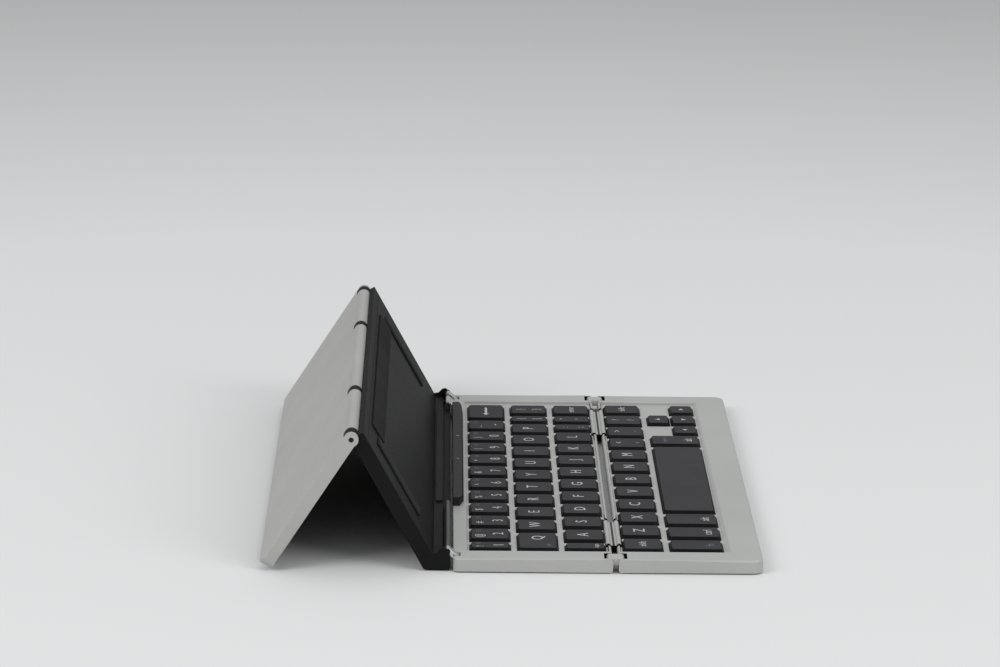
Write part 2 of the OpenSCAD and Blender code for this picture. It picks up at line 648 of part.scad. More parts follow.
module number_keys() keys([0:10]);
module backspace_key() keys([11:11]);
module top_row_keys() keys([12:23]);
module caps_key() keys([24:24]);
module home_row_keys() keys([25:35]);
module enter_key() keys([36:36]);
module left_shift_key() keys([37:37]);
module bottom_row_keys() keys([38:47]);
module right_shift_key() keys([48:48]);
module fn_key() keys([49:49]);
module control_key() keys([50:50]);
module alt_key() keys([51:51]);
module space_bar() keys([52:52]);
module right_alt_key() keys([53:53]);
module left_arrow_key() keys([54:54]);
module up_arrow_key() keys([55:55]);
module down_arrow_key() keys([56:56]);
module right_arrow_key() keys([57:57]);

rear_deck();
rear_bottom_cover();
rear_support_plate();
rear_membrane();
rear_domes();
rear_scissors();
main_board();
charge_port();
tablet_bar();
indicator_lights();
rear_feet();
rear_screws();
rear_hinge_pins();
fold_end_links();
fold_hinge_blocks();
flex_cable();
front_deck();
front_bottom_cover();
front_support_plate();
front_membrane();
front_domes();
front_scissors();
space_bar_wire();
battery();
palm_magnets();
front_feet();
front_screws();
front_hinge_pins();
stand_links();
stand_body();
stand_front_cover();
stand_stiffener();
stand_magnets();
stand_hinge_strip();
tablet_grip();
tablet_rest_pad();
stand_foot_pads();
stand_hinge_pins();
leg_shell();
leg_liner();
leg_foot();
number_keys();
backspace_key();
top_row_keys();
caps_key();
home_row_keys();
enter_key();
left_shift_key();
bottom_row_keys();
right_shift_key();
fn_key();
control_key();
alt_key();
space_bar();
right_alt_key();
left_arrow_key();
up_arrow_key();
down_arrow_key();
right_arrow_key();
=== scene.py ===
"""Looks of the folding keyboard: caps with printed legends, soft-edged casings, stand, stage and camera.

Lengths are in millimetres until a mesh is made. The floor, the lamps and the camera's clipping are in
metres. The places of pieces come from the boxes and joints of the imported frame.
"""
import json
import math

import bmesh
import bpy
import numpy as np
from mathutils import Matrix, Vector

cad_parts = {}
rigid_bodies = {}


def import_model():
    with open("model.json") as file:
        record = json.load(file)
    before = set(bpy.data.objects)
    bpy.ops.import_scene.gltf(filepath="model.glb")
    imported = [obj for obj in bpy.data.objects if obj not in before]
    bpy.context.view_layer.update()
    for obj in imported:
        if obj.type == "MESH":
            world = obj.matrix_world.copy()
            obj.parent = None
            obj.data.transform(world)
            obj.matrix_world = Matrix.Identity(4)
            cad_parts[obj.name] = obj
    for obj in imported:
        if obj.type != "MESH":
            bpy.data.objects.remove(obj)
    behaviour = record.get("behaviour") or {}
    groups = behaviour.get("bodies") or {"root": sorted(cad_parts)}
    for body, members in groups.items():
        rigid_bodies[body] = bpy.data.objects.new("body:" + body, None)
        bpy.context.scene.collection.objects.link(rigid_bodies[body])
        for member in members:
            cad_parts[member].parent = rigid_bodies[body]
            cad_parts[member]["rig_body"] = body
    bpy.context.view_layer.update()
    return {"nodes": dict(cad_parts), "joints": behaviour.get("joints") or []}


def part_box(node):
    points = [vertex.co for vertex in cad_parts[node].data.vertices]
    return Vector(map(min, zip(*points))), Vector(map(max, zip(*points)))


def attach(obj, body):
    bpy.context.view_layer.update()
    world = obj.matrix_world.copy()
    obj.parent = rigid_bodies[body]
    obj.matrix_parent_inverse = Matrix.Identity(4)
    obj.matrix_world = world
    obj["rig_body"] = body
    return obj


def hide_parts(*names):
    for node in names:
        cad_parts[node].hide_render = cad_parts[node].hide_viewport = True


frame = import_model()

MM = 0.001

# Two lengths closer than this count as the same
NEAR = 0.01

# Camera: it looks along the keys from the user's left
IMAGE_WIDTH = 1000
FOCAL_PIXELS = 4138.7
SENSOR = 36.0
CAMERA_PLACE = (-1475.4, 24.85, 417.9)
CAMERA_TILT = math.radians(13.723)
CAMERA_TURN = math.radians(0.833)
CAMERA_ROLL = math.radians(0.69)
CAMERA_CLIP = (0.05, 50)

# Key caps: corner radius, share of the height that stays upright, how far the sides draft in above it,
# radius of the top edge, depth of the dish, and the thickness of the walls and of the roof round the
# hollow underneath
CAP_CORNER = 1.25
CAP_SKIRT = 0.5
CAP_DRAFT = 0.62
CAP_EDGE = 0.22
CAP_DISH = 0.1
CAP_WALL = 0.9
CAP_ROOF = 1.0

# How much a cap's corner radius shrinks for each millimetre that its outline draws in, and the points
# round each corner
CORNER_SHRINK = 0.4
CORNER_STATIONS = 6

# Stations of a cap: those of its top edge, and the sizes of the rings that close its top. The last
# size is also that of the tiny ring in the middle of the hollow's roof
EDGE_STATIONS = 5
CLOSING = np.array([0.97, 0.85, 0.65, 0.42, 0.2, 0.02])

# Rings of a cap in the sides' black, darker than the top partly as black plastic and partly as painted
# shade: the hollow, the skirt, the side and the lower half of the top edge
SHADED_RINGS = 7

# Prints: heights of their letters, and how far they stand proud of the cap and sink into it
LETTER = 4.0
DIGIT = 3.7
SYMBOL = 2.7
WORD = 2.4
LABEL = 3.0
SMALL = 1.7
INK_PROUD = 0.012
INK_SUNK = 0.04

# Places of prints, as shares of a cap's width from its left and of its depth from the user's side
MIDDLE = 0.5
LOW_PRINT = 0.24
HIGH_PRINT = 0.72
LETTER_UP = 0.54
DIGIT_UP = 0.3
SIGN_PLACE = (0.3, 0.76)
FUNCTION_PLACE = (0.76, 0.78)
TAB_ACROSS = 0.22
BESIDE_TAB = 0.67

# Height of a capital as a share of the font size, steps of a letter's curves, and how close a letter's
# points are, in its own units, to be merged
CAPITAL_SHARE = 0.682
LETTER_STEPS = 3
LETTER_MERGE = 1e-4

# Radius of the arrow keys' triangles
ARROW_R = 1.25

# Stand plate: its lean, how far the upper pin stands out from its rear face, and its thickness
PLATE_LEAN = math.radians(61)
PIN_OUT = 10.2
PLATE_T = 5.2

# Soft edges: the angle from which an edge is softened, the angle up to which neighbours are joined
# into one flat face, and how close points are, in metres, to be merged
SHARP = math.radians(28)
FLAT = math.radians(0.5)
MERGE = 3e-6

# Share of a face's normal along an axis from which the face counts as facing that way
FACING = 0.9

# Casings: width of their soft edge, width of the end bezels, and radii of their corners
CASE_EDGE = 1.3
BEZEL_END = 10.0
FRONT_CORNER = 4.0
REAR_CORNER = 2.0

# Where a casing's edges lie: how near the outline its own edges are, how far in the recess begins, how
# far from the fold edges are softened, and how near the recess's steps their edges are
OUTLINE_NEAR = 0.06
RECESS_IN = 3
FOLD_CLEAR = 2.4
STEP_NEAR = 0.1

# Shares of the casings' edge width: how much the outline loses towards the stand, the outline below,
# the rim of the recess and the key holes. All other softened edges take the whole width
STAND_LOSS = 0.7
BASE_SHARE = 0.3
RECESS_SHARE = 0.6
HOLE_SHARE = 0.06

# Painted black shade on the cheeks of a casing's nose: how deep it reaches from the fold, how far from
# the silver end faces it begins, and how far from the fold a shaded wall lies
NOSE_DEPTH = 3.4
END_CLEAR = 0.1
WALL_DEPTH = 0.4

# Edges that stay sharp: those up to the first distance from the leg hinge's axis, and the leg's own
# below the second height
PIN_CLEAR = 4
LEG_LOWEST = 3.5

# Palm strip: its depth, the height of the recess behind it, and the depth of the slope between them
PALM_DEPTH = 10.6
RECESS_Z = 4.2
PALM_SLOPE = 1.8

# Screws: radii of head and shank, thickness of the head, width and depth of its chamfer
SCREW_HEAD_R = 1.25
SCREW_SHANK_R = 0.7
SCREW_HEAD_T = 0.5
SCREW_CHAMFER = (0.12, 0.1)

# Cross recess of a screw: mean radius and swing as shares of the head's radius, how far it tapers and
# its depths at the middle and at the wall. The ring that closes a screw at its middle is tiny
CROSS_MEAN = 0.42
CROSS_SWING = 0.2
CROSS_TAPER = 0.85
CROSS_DEPTH = (0.3, 0.28)
SCREW_MIDDLE = 0.02

# Grips of the stand plate: thickness, pitch and depth of their ribs, stations for each rib, how far the
# first station is from the end, and the shares of the thickness at the ends and at the long edges
GRIP_T = 0.8
GRIP_PITCH = 1.2
GRIP_GROOVE = 0.25
GRIP_STATIONS = 6
GRIP_END_IN = 0.15
GRIP_END_SHARE = 0.6
GRIP_EDGE_SHARE = 0.7
GRIP_EDGE_W = 0.2

# Places of the grips up the plate: a grip wider than the first number lies along X
GRIP_WIDE = 20
WIDE_GRIP_UP = (38, 46)
SIDE_GRIP_UP = (12, 42)

# Finishes: the stretch of brushed grain, the part of a noise's range that moves the gloss, how much it
# moves, and the painted shade of the fold's gap: how softly it ends, its half width and its tone
ALONG_X = (0.05, 1, 1)
GLOSS_RANGE = (0.3, 0.7)
GLOSS_SWING = 0.12
GAP_SHADE_SOFT = 0.2
GAP_SHADE_HALF = 0.4
GAP_SHADE_TONE = (0.01, 0.01, 0.01, 1)

# Switch film: bricks of its track pattern across a metre, and the width of the tracks in a brick
TRACK_SCALE = 120
TRACK_WIDTH = 0.03

# Stage: the floor's half width, its cells along a side, and its painted pool of light round the object:
# the distances between which it darkens and its tones there
FLOOR_HALF = 6.0
FLOOR_CELLS = 24
FLOOR_LIGHT_FALLOFF = (0.45, 1.3)
FLOOR_LIT_TONE = (0.72, 0.72, 0.72)
FLOOR_DIM_TONE = (0.48, 0.48, 0.48)

# Lamps, both aimed at the origin: width, and each one's place and watts
LAMP_SIZE = 1.0
LAMPS = {"soft_user_side": ((-1.0, -1.3, 1.1), 11.6), "soft_stand_side": ((-1.0, 1.4, 1.2), 13.6)}

# Surroundings: colour, strength at the horizon, strength overhead and the height where it is reached
SKY = (0.93, 0.94, 0.95, 1)
HORIZON_STRENGTH = 0.25
SKY_STRENGTH = 0.8
SKY_HEIGHT = 0.6


def joint_place(name):
    """Where a joint's axis crosses the middle plane."""
    found = next(j for j in frame["joints"] if j["name"] == name)
    return np.array(found["pos_m"]) / MM


def box_of(node):
    """Lowest and highest corner of a node's box."""
    low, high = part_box(node)
    return np.array(low) / MM, np.array(high) / MM


def triangles_of(node):
    """Points of a node, and the triangles that join them."""
    mesh = frame["nodes"][node].data
    points = np.empty(len(mesh.vertices) * 3)
    mesh.vertices.foreach_get("co", points)
    mesh.calc_loop_triangles()
    corners = np.empty(len(mesh.loop_triangles) * 3, int)
    mesh.loop_triangles.foreach_get("vertices", corners)
    return points.reshape(-1, 3) / MM, corners.reshape(-1, 3)


def x_spans(node):
    """Stretches of X that a node's triangles cover: sorted by their start, cut where none reaches."""
    points, corners = triangles_of(node)
    x = points[corners][:, :, 0]
    order = np.argsort(x.min(1))
    low = x.min(1)[order]
    reach = np.maximum.accumulate(x.max(1)[order])
    starts = np.r_[True, low[1:] > reach[:-1] + NEAR]
    return np.column_stack([low[starts], reach[np.r_[starts[1:], True]]])


# Finishes

def principled(name, colour, roughness, metallic, specular):
    """A material with its even values on the shader's own sockets."""
    made = bpy.data.materials.new(name)
    made.use_nodes = True
    shader = made.node_tree.nodes["Principled BSDF"]
    shader.inputs["Base Color"].default_value = (*colour, 1)
    shader.inputs["Roughness"].default_value = roughness
    shader.inputs["Metallic"].default_value = metallic
    shader.inputs["Specular IOR Level"].default_value = specular
    return made


def noise(material, per_mm, detail=3.0, stretch=(1, 1, 1)):
    """Noise on Object coordinates, its scale in cells per millimetre."""
    nodes, links = material.node_tree.nodes, material.node_tree.links
    place = nodes.new("ShaderNodeTexCoord")
    scale = nodes.new("ShaderNodeMapping")
    scale.inputs["Scale"].default_value = stretch
    made = nodes.new("ShaderNodeTexNoise")
    made.inputs["Scale"].default_value = per_mm / MM
    made.inputs["Detail"].default_value = detail
    links.new(place.outputs["Object"], scale.inputs["Vector"])
    links.new(scale.outputs["Vector"], made.inputs["Vector"])
    return made.outputs["Fac"]


def vary_colour(material, fac, dark, light, low=0.35, high=0.65):
    """Base colour from dark to light as the pattern rises from low to high."""
    nodes, links = material.node_tree.nodes, material.node_tree.links
    ramp = nodes.new("ShaderNodeValToRGB")
    first, last = ramp.color_ramp.elements
    first.position, last.position = low, high
    first.color, last.color = (*dark, 1), (*light, 1)
    links.new(fac, ramp.inputs["Fac"])
    links.new(ramp.outputs["Color"], nodes["Principled BSDF"].inputs["Base Color"])


def vary_roughness(material, fac, smooth, rough):
    """Roughness from smooth to rough with the pattern."""
    nodes, links = material.node_tree.nodes, material.node_tree.links
    span = nodes.new("ShaderNodeMapRange")
    span.inputs["From Min"].default_value = GLOSS_RANGE[0]
    span.inputs["From Max"].default_value = GLOSS_RANGE[1]
    span.inputs["To Min"].default_value = smooth
    span.inputs["To Max"].default_value = rough
    links.new(fac, span.inputs["Value"])
    links.new(span.outputs["Result"], nodes["Principled BSDF"].inputs["Roughness"])


def emboss(material, fac, height):
    """Bump of the pattern, its full height in millimetres."""
    nodes, links = material.node_tree.nodes, material.node_tree.links
    bump = nodes.new("ShaderNodeBump")
    bump.inputs["Distance"].default_value = height * MM
    links.new(fac, bump.inputs["Height"])
    links.new(bump.outputs["Normal"], nodes["Principled BSDF"].inputs["Normal"])


def grained(name, dark, light, roughness, grain_per_mm, grain_height, metallic=0.0, specular=0.5,
            cloud_per_mm=0.03, stretch=(1, 1, 1)):
    """Moulded, painted or brushed finish: slow clouds of tone, and a fine grain in bump and gloss."""
    made = principled(name, light, roughness, metallic, specular)
    vary_colour(made, noise(made, cloud_per_mm), dark, light)
    grain = noise(made, grain_per_mm, 2.0, stretch)
    vary_roughness(made, grain, roughness * (1 - GLOSS_SWING), min(roughness * (1 + GLOSS_SWING), 1))
    emboss(made, grain, grain_height)
    return made


def paint_gap_shade(made, centre, half):
    """Paints shade onto a finish along a narrow seam in X, standing for the gap between the fold's two
    leaves: the part within half a width of its centre in Y.
    """
    nodes, links = made.node_tree.nodes, made.node_tree.links
    tone = nodes["Principled BSDF"].inputs["Base Color"]
    paint = tone.links[0].from_socket
    place = nodes.new("ShaderNodeTexCoord")
    parts = nodes.new("ShaderNodeSeparateXYZ")
    away = nodes.new("ShaderNodeMath")
    away.operation = "SUBTRACT"
    away.inputs[1].default_value = centre * MM
    size = nodes.new("ShaderNodeMath")
    size.operation = "ABSOLUTE"
    span = nodes.new("ShaderNodeMapRange")
    span.inputs["From Min"].default_value = (1 - GAP_SHADE_SOFT) * half * MM
    span.inputs["From Max"].default_value = (1 + GAP_SHADE_SOFT) * half * MM
    mix = nodes.new("ShaderNodeMix")
    mix.data_type = "RGBA"
    mix.inputs["A"].default_value = GAP_SHADE_TONE
    links.new(place.outputs["Object"], parts.inputs["Vector"])
    links.new(parts.outputs["Y"], away.inputs[0])
    links.new(away.outputs["Value"], size.inputs[0])
    links.new(size.outputs["Value"], span.inputs["Value"])
    links.new(span.outputs["Result"], mix.inputs["Factor"])
    links.new(paint, mix.inputs["B"])
    links.new(mix.outputs["Result"], tone)
    return made


def printed_tracks(name):
    """Smoky switch film with a net of pale printed tracks, drawn by a brick pattern's joints."""
    made = grained(name, (0.02, 0.03, 0.03), (0.035, 0.05, 0.05), 0.35, 1.0, 0.002)
    nodes, links = made.node_tree.nodes, made.node_tree.links
    tracks = nodes.new("ShaderNodeTexBrick")
    place = nodes.new("ShaderNodeTexCoord")
    tracks.inputs["Scale"].default_value = TRACK_SCALE
    tracks.inputs["Mortar Size"].default_value = TRACK_WIDTH
    tracks.inputs["Color1"].default_value = (0.02, 0.03, 0.03, 1)
    tracks.inputs["Color2"].default_value = (0.03, 0.042, 0.042, 1)
    tracks.inputs["Mortar"].default_value = (0.25, 0.25, 0.24, 1)
    links.new(place.outputs["Object"], tracks.inputs["Vector"])
    links.new(tracks.outputs["Color"], nodes["Principled BSDF"].inputs["Base Color"])
    return made


def silver(name):
    """Satin silver paint of the panels and of the pieces that bridge the fold."""
    return grained(name, (0.41, 0.415, 0.40), (0.435, 0.44, 0.425), 0.46, 6.0, 0.006, metallic=0.15,
                   specular=0.4)


# The seam of the fold's blocks lies midway between its two axes; shade is painted along it for the gap
# between the two leaves
fold_middle = (joint_place("fold_rear_hinge")[1] + joint_place("fold_front_hinge")[1]) / 2

silver_paint = silver("silver_paint")
leg_silver = grained("leg_silver", (0.41, 0.41, 0.39), (0.44, 0.44, 0.42), 0.42, 3.0, 0.004,
                     metallic=0.25, specular=0.4, stretch=ALONG_X)
# Silver of the fold's blocks, with painted shade along the gap between the leaves
gap_shade_paint = paint_gap_shade(silver("gap_shade_paint"), fold_middle, GAP_SHADE_HALF)
bright_metal = grained("bright_metal", (0.55, 0.55, 0.54), (0.66, 0.66, 0.65), 0.28, 4.0, 0.003,
                       metallic=0.9, cloud_per_mm=0.2)
stand_black = grained("stand_black", (0.007, 0.007, 0.0072), (0.0095, 0.0095, 0.0098), 0.55, 2.2, 0.02,
                      specular=0.08)
bar_black = grained("bar_black", (0.012, 0.012, 0.0125), (0.015, 0.015, 0.0155), 0.55, 3.0, 0.01,
                    specular=0.25)
cap_top = grained("cap_top", (0.0215, 0.0205, 0.0235), (0.0265, 0.0255, 0.029), 0.62, 5.0, 0.012,
                  specular=0.28, cloud_per_mm=0.08)
# Cap sides: black plastic, painted darker than the tops to stand for the shade on the sides
cap_side_shaded = grained("cap_side_shaded", (0.003, 0.003, 0.0032), (0.0045, 0.0045, 0.0048), 0.5, 4.0, 0.006,
                   specular=0.12)
white_ink = grained("white_ink", (0.42, 0.42, 0.42), (0.52, 0.52, 0.52), 0.6, 7.0, 0.004,
                    specular=0.3, cloud_per_mm=0.6)
blue_ink = grained("blue_ink", (0.10, 0.11, 0.16), (0.13, 0.14, 0.20), 0.6, 7.0, 0.004,
                   specular=0.3, cloud_per_mm=0.6)
rubber = grained("rubber", (0.012, 0.012, 0.012), (0.02, 0.02, 0.02), 0.82, 3.0, 0.03, specular=0.25)
dome_rubber = grained("dome_rubber", (0.10, 0.10, 0.10), (0.14, 0.14, 0.14), 0.7, 2.0, 0.01)
leg_lining = grained("leg_lining", (0.02, 0.02, 0.02), (0.028, 0.028, 0.028), 0.7, 1.6, 0.03,
                     specular=0.25)
cover_metal = grained("cover_metal", (0.30, 0.30, 0.30), (0.35, 0.35, 0.35), 0.4, 5.0, 0.004,
                      metallic=0.6, stretch=ALONG_X)
# Knuckle strip: grey metal, painted dark to stand for the shadow of a tablet resting on the stand
strip_tablet_shadow = grained("strip_tablet_shadow", (0.07, 0.07, 0.068), (0.09, 0.09, 0.088), 0.45, 4.0, 0.004,
                     metallic=0.5, stretch=ALONG_X)
# Near-black painted shade for the fold's slots, notches and block ends
slot_shade_black = grained("slot_shade_black", (0.003, 0.003, 0.003), (0.005, 0.005, 0.005), 0.7, 3.0, 0.01,
                     specular=0.1)
pin_black = grained("pin_black", (0.012, 0.012, 0.012), (0.018, 0.018, 0.018), 0.4, 3.0, 0.004,
                    metallic=0.5, stretch=ALONG_X)
steel = grained("steel", (0.36, 0.37, 0.38), (0.46, 0.47, 0.48), 0.35, 3.0, 0.004, metallic=0.95,
                stretch=ALONG_X)
magnet_nickel = grained("magnet_nickel", (0.55, 0.53, 0.50), (0.64, 0.62, 0.58), 0.2, 2.0, 0.002,
                        metallic=1.0)
membrane_film = printed_tracks("membrane_film")
scissor_nylon = grained("scissor_nylon", (0.62, 0.62, 0.6), (0.7, 0.7, 0.68), 0.5, 2.0, 0.006)
board_green = grained("board_green", (0.008, 0.05, 0.02), (0.012, 0.075, 0.03), 0.3, 1.5, 0.01,
                      cloud_per_mm=0.6)
cable_amber = grained("cable_amber", (0.5, 0.18, 0.02), (0.6, 0.24, 0.03), 0.3, 2.0, 0.004,
                      stretch=(1, 0.1, 1))
battery_wrap = grained("battery_wrap", (0.32, 0.34, 0.37), (0.42, 0.44, 0.47), 0.32, 0.35, 0.06,
                       metallic=0.6)
lamp_lens = grained("lamp_lens", (0.10, 0.10, 0.10), (0.16, 0.16, 0.16), 0.15, 3.0, 0.002, specular=0.6)


# Meshes

def add_object(name, data):
    """A new object of the scene that shows the given data."""
    made = bpy.data.objects.new(name, data)
    bpy.context.scene.collection.objects.link(made)
    return made


def new_piece(name, points, faces, body, materials, picks=None):
    """A smooth-shaded piece at the origin that rides on a body. picks gives each face's material."""
    mesh = bpy.data.meshes.new(name)
    mesh.from_pydata((np.asarray(points) * MM).tolist(), [], [list(f) for f in faces])
    for material in materials:
        mesh.materials.append(material)
    if picks is not None:
        mesh.polygons.foreach_set("material_index", np.asarray(picks, np.int32))
    mesh.polygons.foreach_set("use_smooth", np.ones(len(mesh.polygons), bool))
    mesh.update()
    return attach(add_object(name, mesh), body)


def ring_faces(rings, around):
    """Quads between the closed rings of a grid, each point joined to the next one round and up."""
    i = np.arange(rings - 1)[:, None] * around
    j = np.arange(around)[None, :]
    k = (j + 1) % around
    return np.stack([i + j, i + k, i + around + k, i + around + j], -1).reshape(-1, 4)


def closed_tube(grid):
    """Points and faces of a grid of closed rings, with its first and last ring filled in."""
    rings, around = grid.shape[:2]
    ends = [np.arange(around)[::-1], (rings - 1) * around + np.arange(around)]
    return grid.reshape(-1, 3), [*ring_faces(rings, around), *ends]


def joined(shapes):
    """Points and faces of several shapes as one mesh: each shape's faces count on from the last one's."""
    points, faces, start = [], [], 0
    for shape_points, shape_faces in shapes:
        faces += [np.asarray(f) + start for f in shape_faces]
        points.append(shape_points)
        start += len(shape_points)
    return np.vstack(points), faces


def rounded_outline(half, corner):
    """Points round a rectangle: each corner's centre plus its radius times (cos, sin)."""
    turn = np.radians(np.linspace(0, 90, CORNER_STATIONS)[None, :] + np.arange(4)[:, None] * 90)
    centre = np.array([[1, 1], [-1, 1], [-1, -1], [1, -1]])[:, None, :] * (np.asarray(half) - corner)
    return (centre + corner * np.stack([np.cos(turn), np.sin(turn)], -1)).reshape(-1, 2)


# Key caps

def dish(share):
    """How far the top sinks: the dish times one less the square of the share of the way out."""
    return CAP_DISH * (1 - share ** 2)


def cap_profile():
    """Stations of a cap from the middle of its hollow, out and down the hollow's wall, round the skirt
    and up to the middle of the top: draw-in of the outline, share of the height, drop below that, and
    shrink towards the middle. The skirt is upright, the side drafts in on a straight line, and the
    top edge is a quarter circle."""
    turn = np.radians(np.linspace(0, 90, EDGE_STATIONS))
    edge = CAP_DRAFT + CAP_EDGE * (1 - np.cos(turn))
    inset = np.r_[np.full(3, CAP_WALL), 0, 0, edge, np.full(len(CLOSING), CAP_DRAFT + CAP_EDGE)]
    share = np.r_[1, 1, 0, 0, CAP_SKIRT, np.ones(EDGE_STATIONS + len(CLOSING))]
    drop = np.r_[CAP_ROOF, CAP_ROOF, 0, 0, 0, CAP_EDGE * (1 - np.sin(turn)), dish(CLOSING)]
    shrink = np.r_[CLOSING[-1], np.ones(4 + EDGE_STATIONS), CLOSING]
    return inset, share, drop, shrink


def cap_grid(low, high):
    """A cap's grid: its rounded outline drawn in and shrunk at each station, at that station's height."""
    inset, share, drop, shrink = cap_profile()
    half = (high - low)[:2] / 2
    outlines = np.stack([rounded_outline(half - d, CAP_CORNER - CORNER_SHRINK * d) for d in inset])
    flat = outlines * shrink[:, None, None] + (low + high)[:2] / 2
    height = low[2] + share * (high[2] - low[2]) - drop
    return np.dstack([flat, np.broadcast_to(height[:, None], flat.shape[:2])])


def cap_boxes(node):
    """Lowest and highest corner of each cap of a node, from left to right."""
    low, high = box_of(node)
    return [(np.array([a, *low[1:]]), np.array([b, *high[1:]])) for a, b in x_spans(node)]


def make_caps(node):
    """Caps of one node: black sides, partly painted shade, below a matt top."""
    grids = [cap_grid(low, high) for low, high in cap_boxes(node)]
    points, faces = joined(map(closed_tube, grids))
    rings, around = grids[0].shape[:2]
    side = np.repeat(np.arange(rings - 1) < SHADED_RINGS, around)
    name = node.replace("key", "cap") if "key" in node else node + "_cap"
    piece = new_piece(name, points, faces, node + "_body", [cap_top, cap_side_shaded],
                      np.tile(np.r_[side, True, False].astype(int), len(grids)))
    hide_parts(node)
    return piece


# Prints on the caps

def text_shape(words, height):
    """Points and faces of a text standing on y = 0, centred on x, one unit thick about z = 0."""
    curve = bpy.data.curves.new("print", "FONT")
    curve.body = words
    curve.size = height / CAPITAL_SHARE
    curve.align_x = "CENTER"
    curve.extrude = 0.5
    curve.resolution_u = LETTER_STEPS
    shape = bpy.data.objects.new("print", curve)
    mesh = shape.to_mesh()
    bm = bmesh.new()
    bm.from_mesh(mesh)
    bmesh.ops.remove_doubles(bm, verts=bm.verts, dist=LETTER_MERGE)
    points = np.array([v.co for v in bm.verts])
    faces = [[v.index for v in f.verts] for f in bm.faces]
    bm.free()
    shape.to_mesh_clear()
    bpy.data.objects.remove(shape)
    bpy.data.curves.remove(curve)
    return points, faces


def slab_shape(outline):
    """Points and faces of an anticlockwise outline, one unit thick about z = 0."""
    n = len(outline)
    rim = np.asarray(outline, float)
    points = np.vstack([np.column_stack([rim, np.full(n, z)]) for z in (-0.5, 0.5)])
    around = np.arange(n)
    walls = np.column_stack([around, (around + 1) % n, n + (around + 1) % n, n + around])
    return points, [around[::-1].tolist(), (n + around).tolist(), *walls.tolist()]


def print_on(mark, low, high):
    """Points and faces of a print on a cap: its shape moved to its place, then the upper face follows the
    dish, a little proud, and the lower one is sunk into the cap."""
    words, height = mark["words"], mark["height"]
    points, faces = text_shape(words, height) if isinstance(words, str) else slab_shape(words)
    spot = low[:2] + np.array([mark["across"], mark["up"]]) * (high - low)[:2] - (0, height / 2)
    placed = points[:, :2] + spot
    half = (high - low)[:2] / 2 - CAP_DRAFT - CAP_EDGE
    share = np.minimum(np.abs((placed - (low + high)[:2] / 2) / half).max(1), 1)
    z = high[2] - dish(share) + np.where(points[:, 2] > 0, INK_PROUD, -INK_SUNK)
    return np.column_stack([placed, z]), faces


def centred(words, across, up, height, colour="white"):
    """A print with its middle at a share of the cap's width and of its depth."""
    return {"words": words, "across": across, "up": up, "height": height, "colour": colour}


def letter(words):
    """A letter in the middle of its cap, a little towards the stand."""
    return [centred(words, MIDDLE, LETTER_UP, LETTER)]


def number(digit, shifted, function):
    """A digit below, its sign at the upper left and a small function number at the upper right."""
    return [centred(digit, MIDDLE, DIGIT_UP, DIGIT), centred(shifted, *SIGN_PLACE, SYMBOL),
            centred(function, *FUNCTION_PLACE, SMALL, "blue")]


def pair(plain, shifted):
    """Two signs, the shifted one above the plain one."""
    return [centred(plain, MIDDLE, DIGIT_UP, SYMBOL), centred(shifted, MIDDLE, HIGH_PRINT, SYMBOL)]


def arrow_head(turn):
    """A small triangle, its corners a third of a turn apart, turned by quarter turns from pointing right."""
    angle = np.radians([0, 120, 240]) + turn * math.pi / 2
    return ARROW_R * np.column_stack([np.cos(angle), np.sin(angle)])


# Inks of the prints, the outline of the backspace key's arrow, and each node's prints from its left cap
# to its right one
INKS = {"white": white_ink, "blue": blue_ink}
LONG_ARROW = [(-5.5, 0), (-3.0, -1.3), (-3.0, -0.45), (5.5, -0.45), (5.5, 0.45), (-3.0, 0.45), (-3.0, 1.3)]
PRINTS = {
    "number_keys": [number(d, s, f"F{i + 1}") for i, (d, s) in enumerate(zip("1234567890-", "!@#$%^&*()_"))],
    "backspace_key": [[centred(LONG_ARROW, MIDDLE, MIDDLE, 0)]],
    "top_row_keys": [[centred("Q", BESIDE_TAB, MIDDLE, LETTER),
                      centred("tab", TAB_ACROSS, LOW_PRINT, SMALL, "blue")],
                     *map(letter, "WERTYUIOP"), pair("[", "{"), pair("]", "}")],
    "caps_key": [[centred("caps", MIDDLE, LOW_PRINT, SMALL)]],
    "home_row_keys": [*map(letter, "ASDFGHJKL"), pair(";", ":"), pair("'", '"')],
    "enter_key": [[centred("enter", MIDDLE, MIDDLE, WORD)]],
    "left_shift_key": [[centred("shift", MIDDLE, MIDDLE, WORD)]],
    "bottom_row_keys": [*map(letter, "ZXCVBNM"), pair(",", "<"), pair(".", ">"), pair("/", "?")],
    "right_shift_key": [[centred("shift", MIDDLE, MIDDLE, WORD)]],
    "fn_key": [[centred("fn", MIDDLE, LOW_PRINT, LABEL, "blue")]],
    "control_key": [[centred("ctrl", MIDDLE, LOW_PRINT, LABEL)]],
    "alt_key": [[centred("alt", MIDDLE, LOW_PRINT, LABEL)]],
    "space_bar": [[]],
    "right_alt_key": [[centred("alt", MIDDLE, LOW_PRINT, LABEL),
                       centred("menu", MIDDLE, HIGH_PRINT, SMALL, "blue")]],
    "left_arrow_key": [[centred(arrow_head(2), MIDDLE, MIDDLE, 0)]],
    "up_arrow_key": [[centred(arrow_head(1), MIDDLE, MIDDLE, 0)]],
    "down_arrow_key": [[centred(arrow_head(3), MIDDLE, MIDDLE, 0)]],
    "right_arrow_key": [[centred(arrow_head(0), MIDDLE, MIDDLE, 0)]],
}


def make_prints(node):
    """Prints of one node's caps, as one piece for each ink."""
    for colour, ink in INKS.items():
        shapes = [print_on(mark, low, high) for (low, high), marks in zip(cap_boxes(node), PRINTS[node])
                  for mark in marks if mark["colour"] == colour]
        if shapes:
            piece = new_piece(f"{node}_{colour}_print", *joined(shapes), node + "_body", [ink])
            piece.data.polygons.foreach_set("use_smooth", np.zeros(len(piece.data.polygons), bool))


# Soft-edged copies of the rigid parts

